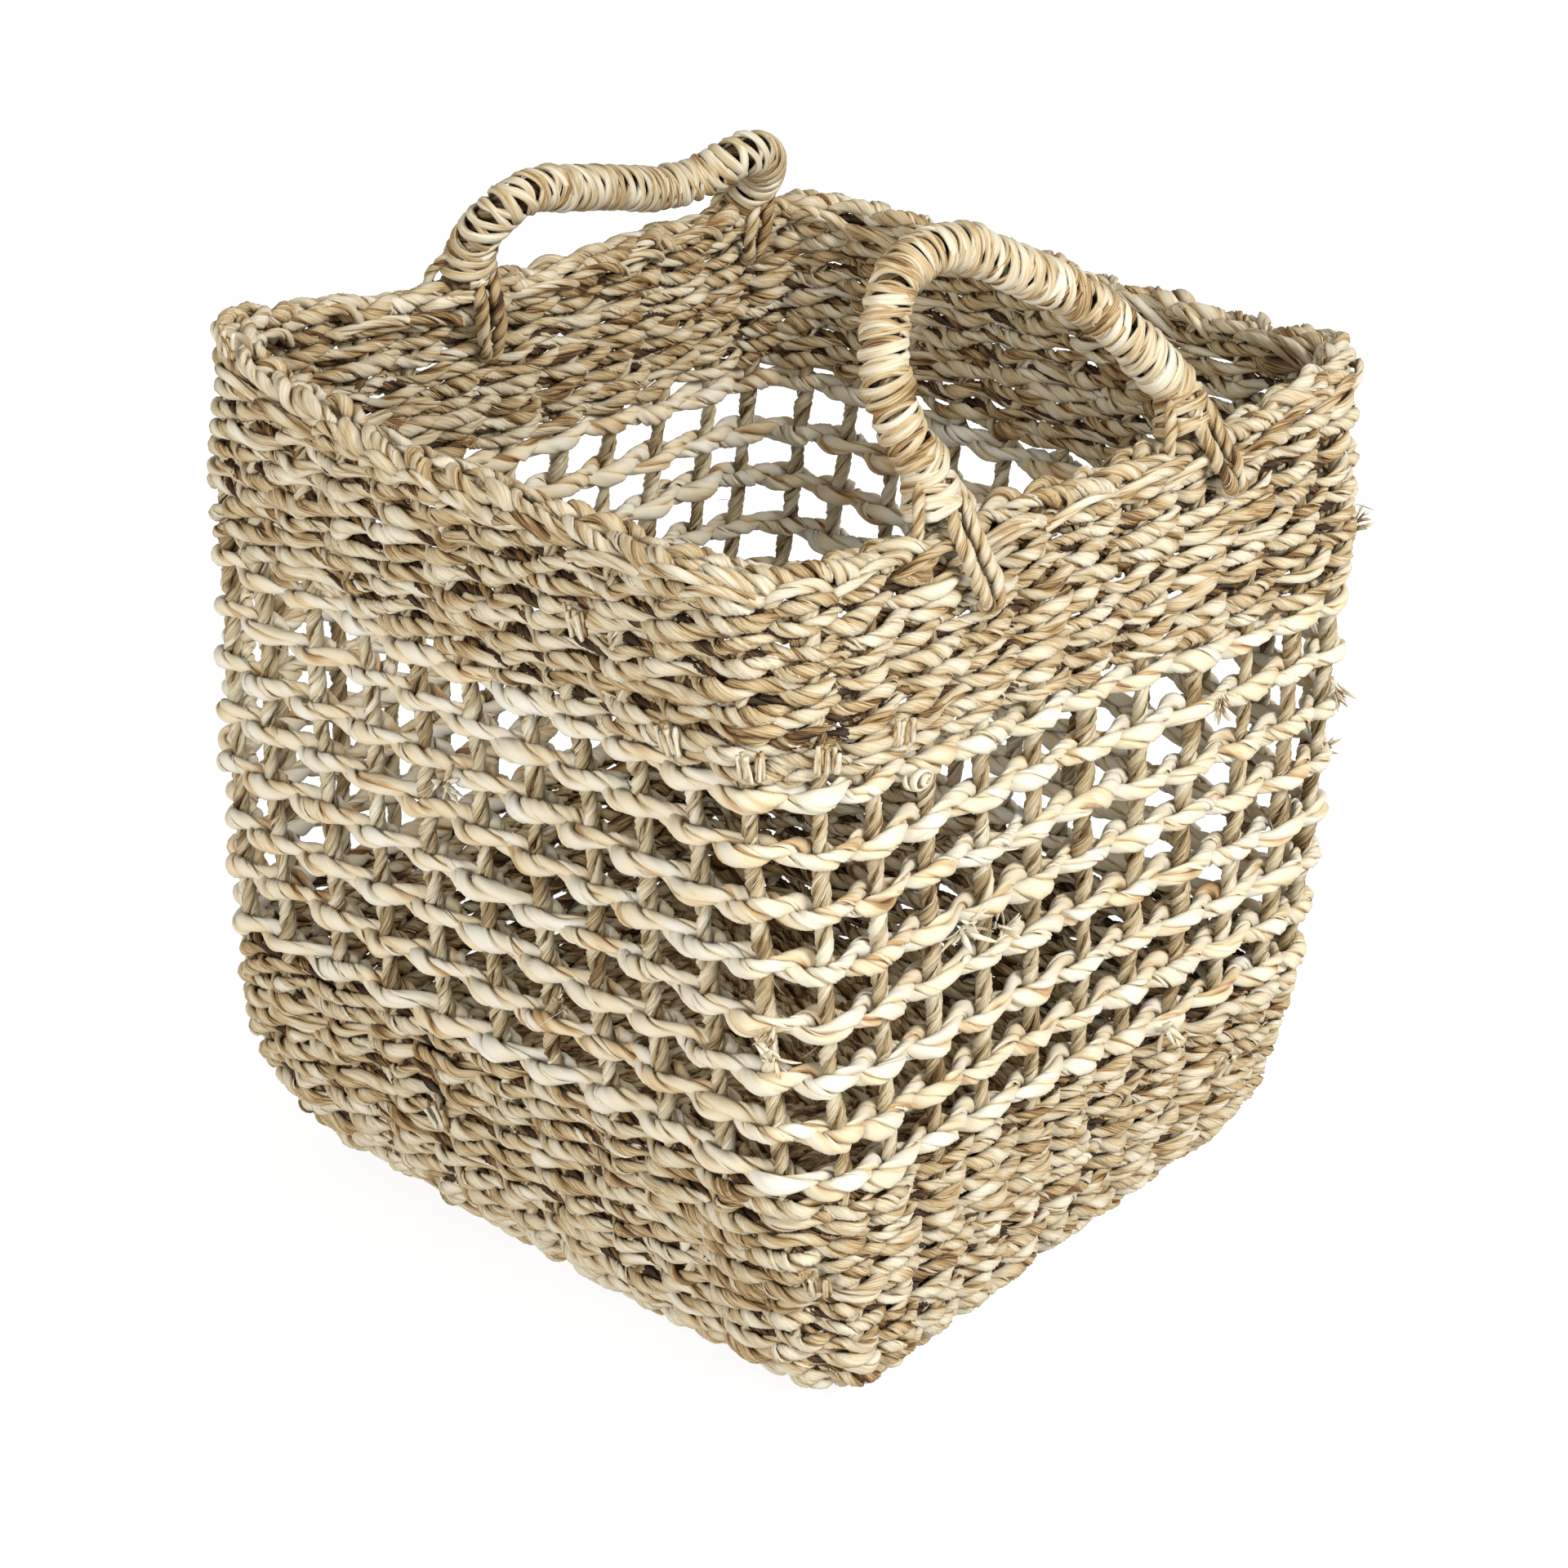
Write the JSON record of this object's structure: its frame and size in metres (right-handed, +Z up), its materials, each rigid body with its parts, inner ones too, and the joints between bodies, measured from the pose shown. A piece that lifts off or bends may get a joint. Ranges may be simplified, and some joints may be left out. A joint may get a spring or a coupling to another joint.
{
  "type": "seagrass storage basket",
  "caption": "Square open-top basket twined from seagrass, khaki bands above and below an open pale band, with two rope handles that flop on the rim.",
  "frame": {"origin": "middle of the underside, on the surface the basket stands on", "axes": "+Z up; -Y towards the wall that carries the front handle; +X along that wall, to the right when it faces the viewer"},
  "size_m": [0.3342, 0.3256, 0.4072],
  "materials": {
    "seagrass_weft": "matt dry seagrass twine, khaki with green-grey and brown streaks",
    "rim_seagrass": "matt plaited seagrass ends",
    "grip_seagrass": "fine seagrass strand wrapped tight, slightly polished by use",
    "seagrass_cord": "two-ply twisted seagrass cord, brown-grey, matt",
    "cream_leaf": "pale rolled leaf strand, smooth and faintly waxy"
  },
  "bodies": {
    "basket": {"cross_stake_01": "seagrass_cord", "cross_stake_02": "seagrass_cord", "cross_stake_03": "seagrass_cord", "cross_stake_04": "seagrass_cord", "cross_stake_05": "seagrass_cord", "cross_stake_06": "seagrass_cord", "cross_stake_07": "seagrass_cord", "cross_stake_08": "seagrass_cord", "cross_stake_09": "seagrass_cord", "cross_stake_10": "seagrass_cord", "cross_stake_11": "seagrass_cord", "long_stake_01": "seagrass_cord", "long_stake_02": "seagrass_cord", "long_stake_03": "seagrass_cord", "long_stake_04": "seagrass_cord", "long_stake_05": "seagrass_cord", "long_stake_06": "seagrass_cord", "long_stake_07": "seagrass_cord", "long_stake_08": "seagrass_cord", "long_stake_09": "seagrass_cord", "long_stake_10": "seagrass_cord", "long_stake_11": "seagrass_cord", "base_under_weft": "seagrass_weft", "base_upper_weft": "seagrass_weft", "bottom_band_outer_weft": "seagrass_weft", "bottom_band_inner_weft": "seagrass_weft", "top_band_outer_weft": "seagrass_weft", "top_band_inner_weft": "seagrass_weft", "cream_outer_strand_1": "cream_leaf", "cream_outer_strand_2": "cream_leaf", "cream_outer_strand_3": "cream_leaf", "cream_outer_strand_4": "cream_leaf", "cream_outer_strand_5": "cream_leaf", "cream_outer_strand_6": "cream_leaf", "cream_outer_strand_7": "cream_leaf", "cream_outer_strand_8": "cream_leaf", "cream_inner_strand_1": "cream_leaf", "cream_inner_strand_2": "cream_leaf", "cream_inner_strand_3": "cream_leaf", "cream_inner_strand_4": "cream_leaf", "cream_inner_strand_5": "cream_leaf", "cream_inner_strand_6": "cream_leaf", "cream_inner_strand_7": "cream_leaf", "cream_inner_strand_8": "cream_leaf", "rim_braid": "rim_seagrass", "front_handle_left_lashing": "seagrass_cord", "front_handle_right_lashing": "seagrass_cord", "back_handle_left_lashing": "seagrass_cord", "back_handle_right_lashing": "seagrass_cord"},
    "front_handle": {"front_handle_core_rope": "seagrass_cord", "front_handle_grip_wrap": "grip_seagrass"},
    "back_handle": {"back_handle_core_rope": "seagrass_cord", "back_handle_grip_wrap": "grip_seagrass"}
  },
  "joints": [
    {"name": "front_handle_swing", "type": "hinge", "parent": "basket", "child": "front_handle", "pos_m": [-0.00664, -0.14113, 0.326], "axis": [1, 0, 0], "range_deg": [-40, 84]},
    {"name": "back_handle_swing", "type": "hinge", "parent": "basket", "child": "back_handle", "pos_m": [0.04367, 0.13717, 0.326], "axis": [-1, 0, 0], "range_deg": [-25, 99]}
  ]
}
